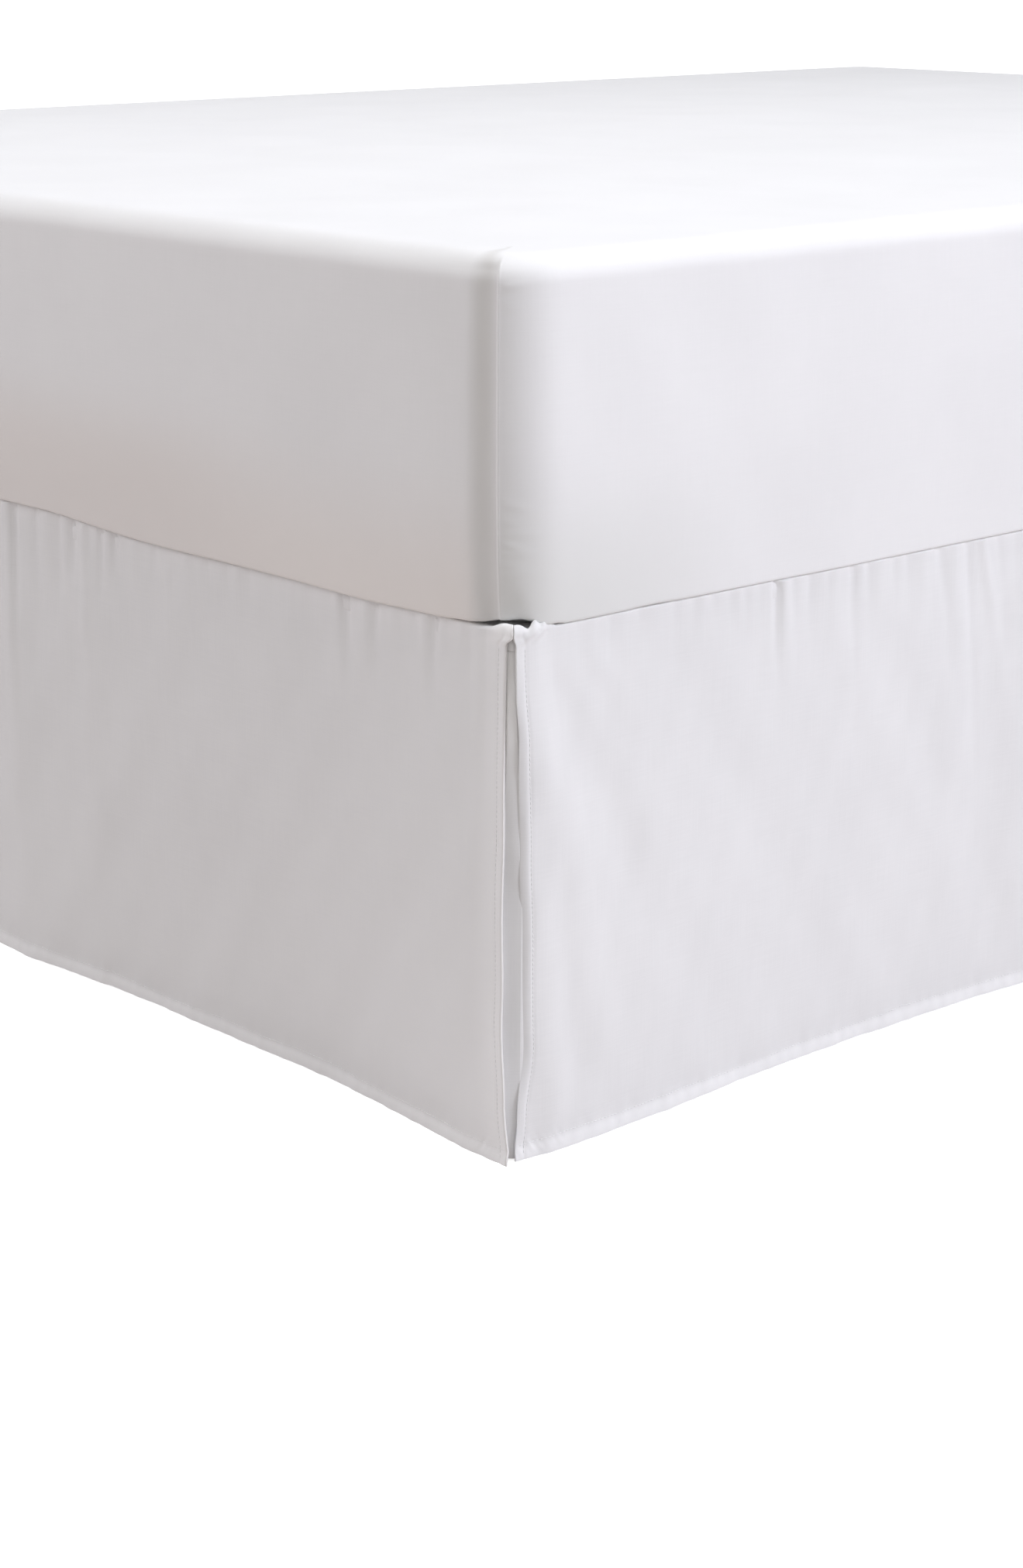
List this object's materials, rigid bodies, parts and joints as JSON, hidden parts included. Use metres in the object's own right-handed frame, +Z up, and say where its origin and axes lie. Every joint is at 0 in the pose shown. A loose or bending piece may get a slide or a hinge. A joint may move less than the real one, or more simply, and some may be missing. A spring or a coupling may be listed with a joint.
{
  "type": "bed skirt on a bed with its mattress",
  "caption": "Tailored white bed skirt: flat drop panels, split foot corners with an underlap behind each, hanging from a deck between the mattress and box spring of a plain bed.",
  "frame": {"origin": "on the floor under the middle of the bed", "axes": "+Z up, +Y towards the head end, which is open, +X to the right seen from the foot"},
  "size_m": [1.5387, 2.0471, 0.6455],
  "materials": {
    "skirt_cloth": "white plain-woven cotton, matt, pressed",
    "underlap_cloth": "the same white cloth as the panels",
    "deck_cloth": "off-white plain weave, thinner than the panels",
    "mattress_cover": "white stretched cotton cover, smooth and matt",
    "spring_ticking": "pale grey woven ticking",
    "frame_steel": "dark brown baked paint, satin",
    "glide_plastic": "black moulded plastic"
  },
  "bodies": {
    "root": {"skirt_drop_foot": "skirt_cloth", "skirt_drop_left": "skirt_cloth", "skirt_drop_right": "skirt_cloth", "skirt_underlap_left": "underlap_cloth", "skirt_underlap_right": "underlap_cloth", "skirt_deck": "deck_cloth", "mattress": "mattress_cover", "box_spring": "spring_ticking", "rail_left": "frame_steel", "rail_right": "frame_steel", "cross_rail_foot": "frame_steel", "cross_rail_middle": "frame_steel", "cross_rail_head": "frame_steel", "leg_foot_left": "frame_steel", "leg_foot_right": "frame_steel", "leg_middle_left": "frame_steel", "leg_middle_centre": "frame_steel", "leg_middle_right": "frame_steel", "leg_head_left": "frame_steel", "leg_head_right": "frame_steel", "glide_foot_left": "glide_plastic", "glide_foot_right": "glide_plastic", "glide_middle_left": "glide_plastic", "glide_middle_centre": "glide_plastic", "glide_middle_right": "glide_plastic", "glide_head_left": "glide_plastic", "glide_head_right": "glide_plastic"}
  },
  "joints": []
}
